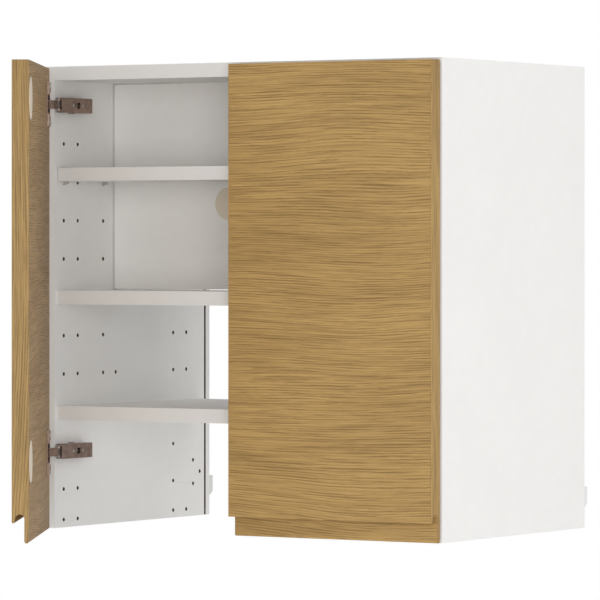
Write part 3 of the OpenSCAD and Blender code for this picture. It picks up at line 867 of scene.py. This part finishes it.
class CabinetMetalSettings(bpy.types.PropertyGroup):
    """Looks of the hinges and steel fixings."""

    nickel: color_property("Nickel", "Colour of the hinges", (0.36, 0.255, 0.205))
    nickel_dull: color_property(
        "Dull nickel", "Colour of their duller patches", (0.23, 0.155, 0.122)
    )
    zinc: color_property("Zinc", "Colour of screws and pins", (0.60, 0.59, 0.57))
    zinc_dull: color_property("Dull zinc", "Colour of their duller patches", (0.45, 0.44, 0.43))
    edge: length_property("Edge rounding", "Rounding of pressed steel edges", 0.25 * MM)


class CabinetStageSettings(bpy.types.PropertyGroup):
    """Floor, lights and camera."""

    floor_drop: length_property("Floor drop", "Floor below the cabinet's hanging line", 1.5)
    sky: bpy.props.FloatProperty(
        name="Surrounding light", description="Strength of the even light", default=0.52, min=0
    )
    key_power: bpy.props.FloatProperty(
        name="Key light",
        description="Power of the main soft light",
        default=38.0,
        min=0,
        unit="POWER",
    )
    view_turn: bpy.props.FloatProperty(
        name="View turn",
        description="Turn of the camera to the right of straight on",
        default=math.radians(31.85),
        subtype="ANGLE",
        unit="ROTATION",
    )


def oak_turn(side):
    """How a door's oak pattern is turned back to lie along the door."""
    joint = swing(side)
    return -open_angle(side) * joint["axis"][2]


# ---------------------------------------------------------------- Boards and plastic


class CABINET_OT_boards(bpy.types.Operator):
    """Make the white boards with softened edges and a melamine skin"""

    bl_idname = "cabinet.boards"
    bl_label = "Boards"

    def execute(self, context):
        looks = context.scene.cabinet_boards
        board = skin_material(
            "White melamine", looks.white, looks.bruise, (0.5, 0.62), core=looks.chipboard
        )
        soften_all(BOARDS, looks.edge, lambda node: board)
        for node in BOARDS:
            mark_core(bpy.data.objects[f"{node}_look"].data, 1.2 * looks.edge)
        return {"FINISHED"}


class CABINET_OT_caps(bpy.types.Operator):
    """Make the cream caps over the cable hole and the spare cup holes"""

    bl_idname = "cabinet.caps"
    bl_label = "Caps"

    def execute(self, context):
        looks = context.scene.cabinet_boards
        cream = skin_material(
            "Cream plastic",
            looks.cream,
            scaled(looks.cream, 1.2),
            (0.42, 0.55),
            pebble=1400.0,
            depth=1.5e-5,
        )
        caps = [node for node in NODES if node.startswith(("cover_cap", "cable_cap"))]
        soften_all(sorted(caps), CAP_EDGE, lambda node: cream, steps=3)
        return {"FINISHED"}


class CABINET_OT_hangers(bpy.types.Operator):
    """Make the hanger housings and the ribbed wall spacers"""

    bl_idname = "cabinet.hangers"
    bl_label = "Hangers and spacers"

    def execute(self, context):
        looks = context.scene.cabinet_boards
        white = skin_material(
            "White plastic", looks.plastic, looks.bruise, (0.4, 0.52), pebble=1200.0, depth=1.5e-5
        )
        soften_all([f"hanger_{side}" for side in SIDES], HANGER_EDGE, lambda node: white)
        tree = bpy.data.node_groups.get("Spacer Ribs") or rib_tree()
        for side in SIDES:
            node = f"wall_spacer_{side}"
            seat(softened(node, SPACER_EDGE), [node], white)
            low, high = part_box(node)
            # The ribs lie across the block, from a quarter of its height to just below its top
            rows = int((high.z - low.z) * RIB_SHARE / RIB_PITCH)
            outer = low.x if side == "left" else high.x
            inward = 1 if side == "left" else -1
            wall = high.y - 2 * RIB_RADIUS
            start = (
                outer + inward * RIB_INSET,
                wall + RIB_RADIUS * 0.6,
                low.z + RIB_START * (high.z - low.z),
            )
            ribs = grown(
                f"spacer_ribs_{side}",
                tree,
                [start],
                {
                    "Count": rows,
                    "Pitch": RIB_PITCH,
                    "Rib Radius": RIB_RADIUS,
                    "Rib Length": RIB_LENGTH,
                    "Material": white,
                },
            )
            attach(ribs, BODY_OF[node])
        return {"FINISHED"}


# ---------------------------------------------------------------- Doors


class CABINET_OT_doors(bpy.types.Operator):
    """Make the oak doors, with the grip in their lower edge, and their edge bands"""

    bl_idname = "cabinet.doors"
    bl_label = "Doors and edge bands"

    def execute(self, context):
        looks = context.scene.cabinet_doors
        for index, side in enumerate(SIDES):
            shift = (PATTERN_STEP[0] * index, 0, PATTERN_STEP[1] * index)
            face = oak_material(f"Oak face {side}", looks, oak_turn(side), shift)
            band = oak_material(f"Oak band {side}", looks, oak_turn(side), shift, upright=True)
            door = softened(f"door_{side}", looks.edge)
            # The inner faces are marked here for the painted shade that darkens them
            mark_facing(door.data, "inner", turn_of(f"{side}_door").to_3x3() @ Vector((0, 1, 0)))
            seat(door, [f"door_{side}"], face)
            for name in ("band_hinge", "band_free"):
                node = f"{name}_{side}"
                seat(softened(node, BAND_EDGE), [node], band)
        return {"FINISHED"}


# ---------------------------------------------------------------- Hinges and fixings


def nickel(looks):
    """The hinges' plated steel, made once."""
    return bpy.data.materials.get("Plated nickel") or metal_material(
        "Plated nickel", looks.nickel, looks.nickel_dull, (0.28, 0.46)
    )


def zinc(looks):
    """The fixings' plated steel, made once."""
    return bpy.data.materials.get("Bright zinc") or metal_material(
        "Bright zinc", looks.zinc, looks.zinc_dull, (0.25, 0.42)
    )


class CABINET_OT_hinges(bpy.types.Operator):
    """Make the hinge plates, arms, cups and levers with rolled edges"""

    bl_idname = "cabinet.hinges"
    bl_label = "Hinges"

    def execute(self, context):
        looks = context.scene.cabinet_metal
        nodes = sorted(node for node in NODES if node.startswith(HINGE_PARTS))
        soften_all(nodes, looks.edge, lambda node: nickel(looks))
        return {"FINISHED"}


class CABINET_OT_screws(bpy.types.Operator):
    """Make the cross-head screws of the hinge cups, the mounting plates and the arms"""

    bl_idname = "cabinet.screws"
    bl_label = "Screws"

    def execute(self, context):
        looks = context.scene.cabinet_metal
        steel = zinc(looks)
        tree = bpy.data.node_groups.get("Cross Head Screws") or screw_tree()
        for side in SIDES:
            self.row(f"cup_screws_{side}", side, tree, steel, 1, 1, *SCREW_SIZES["cup_screws"])
        self.row("plate_screws", None, tree, steel, 0, 0, *SCREW_SIZES["plate_screws"])
        self.row("arm_screws", None, tree, steel, 0, 0, *SCREW_SIZES["arm_screws"])
        return {"FINISHED"}

    def row(self, node, side, tree, steel, axis, facing, head, radius, shank):
        """One node's screws. Without a side they face inwards from each side panel."""
        solids = islands(node)
        turn = turn_of(BODY_OF[node])
        groups = {}
        for low, high in solids:
            middle = (low + high) / 2
            sign = facing if side else (1 if middle.x < 0 else -1)
            middle[axis] = (high if sign > 0 else low)[axis] - sign * head
            groups.setdefault(sign, []).append((turn @ middle, (high - low)[axis] - head))
        pieces = []
        for sign, found in groups.items():
            upright = Vector((0, 0, 1))
            aim = turn.to_3x3() @ Vector([sign if i == axis else 0 for i in range(3)])
            turned = upright.rotation_difference(aim).to_euler()
            pieces.append(
                grown(
                    f"{node}_look_{len(pieces)}",
                    tree,
                    [place for place, length in found],
                    {
                        "Head Radius": radius,
                        "Head Height": head,
                        "Shank Radius": shank,
                        "Shank Length": found[0][1],
                        "Slot Width": radius * SLOT_SHARE,
                        "Turn": turned,
                        "Material": steel,
                    },
                )
            )
        for piece in pieces:
            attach(piece, BODY_OF[node])
        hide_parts(node)


class CABINET_OT_fixings(bpy.types.Operator):
    """Make the pins, hooks, brackets, cams and dowels"""

    bl_idname = "cabinet.fixings"
    bl_label = "Pins, hooks and dowels"

    def execute(self, context):
        looks = context.scene.cabinet_metal
        steel = zinc(looks)
        nodes = ["partition_brackets", "cam_bolts", "cam_housings", "shelf_pins", "arm_pins"]
        for side in SIDES:
            nodes += [f"hanger_hook_{side}", f"hanger_screw_{side}", f"cup_pins_{side}"]
        soften_all(nodes, looks.edge, lambda node: steel)
        self.dowels()
        return {"FINISHED"}

    def dowels(self):
        """The wooden dowels, with flutes."""
        birch, wires, shader, place = start_material("Birch")
        grain = place_group(
            wires,
            "Oak Grain",
            Vector=place,
            Light=(0.68, 0.52, 0.33, 1),
            Dark=(0.55, 0.40, 0.24, 1),
            Pore=(0.45, 0.32, 0.18, 1),
            Ring_Spacing=0.004,
        )
        wires.feed(shader, "Base Color", grain["Color"])
        wires.feed(shader, "Roughness", grain["Roughness"])
        finish_bump(wires, shader, grain["Height"], 4e-5)
        solids = islands("dowels")
        size = solids[0][1] - solids[0][0]
        tree = bpy.data.node_groups.get("Fluted Dowels") or dowel_tree()
        piece = grown(
            "dowels_look",
            tree,
            [(low + high) / 2 for low, high in solids],
            {"Radius": size.y / 2, "Length": size.x, "Material": birch},
        )
        seat(piece, ["dowels"], None)


# ---------------------------------------------------------------- Stage


class CABINET_OT_stage(bpy.types.Operator):
    """Set up the pale floor, the soft lights and the camera"""

    bl_idname = "cabinet.stage"
    bl_label = "Floor, lights and camera"

    def execute(self, context):
        looks = context.scene.cabinet_stage
        self.floor(looks)
        self.sky(context, looks)
        low, high = (Vector(corner) for corner in CAD_BOX)
        middle = (low + high) / 2
        self.light("Key light", middle + KEY_OFFSET, middle, KEY_SIZE, looks.key_power)
        side_power = looks.key_power * SIDE_SHARE
        self.light("Side light", middle + SIDE_OFFSET, middle, SIDE_SIZE, side_power)
        self.camera(context, looks)
        return {"FINISHED"}

    def floor(self, looks):
        """A wide pale floor with a faint unevenness."""
        mesh = bmesh.new()
        bmesh.ops.create_grid(mesh, x_segments=8, y_segments=8, size=FLOOR_REACH)
        bmesh.ops.translate(mesh, verts=mesh.verts, vec=(0, 0, -looks.floor_drop))
        data = bpy.data.meshes.new("floor")
        mesh.to_mesh(data)
        mesh.free()
        floor = add_object("floor", data)
        tone = (FLOOR_TONE, FLOOR_TONE, FLOOR_TONE)
        pale = skin_material("Pale floor", tone, tone, (0.6, 0.75), pebble=30.0)
        # The floor is as light as its surroundings to the eye, but lights the cabinet less
        shader = pale.node_tree.nodes["Principled BSDF"]
        wires = Wires(pale.node_tree)
        seen = wires.add("ShaderNodeLightPath").outputs["Is Camera Ray"]
        shader.inputs["Emission Color"].default_value = (1, 1, 1, 1)
        unlit = 1.0 - FLOOR_TONE * looks.sky
        wires.feed(shader, "Emission Strength", wires.math("MULTIPLY", seen, unlit))
        data.materials.append(pale)

    def sky(self, context, looks):
        """Even light from all round."""
        world = bpy.data.worlds.new("Studio")
        world.use_nodes = True
        background = world.node_tree.nodes["Background"]
        background.inputs["Color"].default_value = (1, 1, 1, 1)
        wires = Wires(world.node_tree)
        seen = wires.add("ShaderNodeLightPath").outputs["Is Camera Ray"]
        wires.feed(background, "Strength", wires.ramp(seen, 0.0, 1.0, looks.sky, 1.0))
        context.scene.world = world
        context.scene.view_settings.view_transform = "Standard"

    def light(self, name, place, target, size, power):
        """A soft square light aimed at a point."""
        data = bpy.data.lights.new(name, "AREA")
        data.energy = power
        data.size = size
        lamp = bpy.data.objects.new(name, data)
        lamp.location = place
        lamp.rotation_euler = (target - place).to_track_quat("-Z", "Y").to_euler()
        bpy.context.scene.collection.objects.link(lamp)

    def camera(self, context, looks):
        """A level camera with a long lens, right of the cabinet and a little above its middle."""
        data = bpy.data.cameras.new("Camera")
        data.lens = CAMERA_LENS
        data.sensor_width = CAMERA_SENSOR
        data.shift_y = CAMERA_SHIFT
        camera = bpy.data.objects.new("Camera", data)
        camera.location = CAMERA_PLACE
        camera.rotation_euler = (math.pi / 2, 0, looks.view_turn)
        bpy.context.scene.collection.objects.link(camera)
        context.scene.camera = camera


# ---------------------------------------------------------------- Panel and run


OPERATORS = (
    CABINET_OT_stage,
    CABINET_OT_boards,
    CABINET_OT_doors,
    CABINET_OT_caps,
    CABINET_OT_hangers,
    CABINET_OT_hinges,
    CABINET_OT_screws,
    CABINET_OT_fixings,
)
SETTINGS = {
    "cabinet_boards": CabinetBoardSettings,
    "cabinet_doors": CabinetDoorSettings,
    "cabinet_metal": CabinetMetalSettings,
    "cabinet_stage": CabinetStageSettings,
}


class CABINET_PT_panel(bpy.types.Panel):
    """Lists the steps that make the cabinet"""

    bl_idname = "CABINET_PT_panel"
    bl_label = "Hanging Wall Cabinet"
    bl_space_type = "VIEW_3D"
    bl_region_type = "UI"
    bl_category = "Cabinet"

    def draw(self, context):
        for name, group in SETTINGS.items():
            box = self.layout.box()
            for key in group.__annotations__:
                box.prop(getattr(context.scene, name), key)
        for operator in OPERATORS:
            self.layout.operator(operator.bl_idname)


def register():
    """Registers the classes and puts the settings on the scene."""
    for group in SETTINGS.values():
        bpy.utils.register_class(group)
    for name, group in SETTINGS.items():
        setattr(bpy.types.Scene, name, bpy.props.PointerProperty(type=group))
    for operator in OPERATORS:
        bpy.utils.register_class(operator)
    bpy.utils.register_class(CABINET_PT_panel)


def unregister():
    """Takes away what register added."""
    bpy.utils.unregister_class(CABINET_PT_panel)
    for operator in reversed(OPERATORS):
        bpy.utils.unregister_class(operator)
    for name, group in SETTINGS.items():
        delattr(bpy.types.Scene, name)
        bpy.utils.unregister_class(group)


def main():
    """Makes everything."""
    register()
    for step in OPERATORS:
        family, name = step.bl_idname.split(".")
        getattr(getattr(bpy.ops, family), name)()


if __name__ == "__main__":
    main()
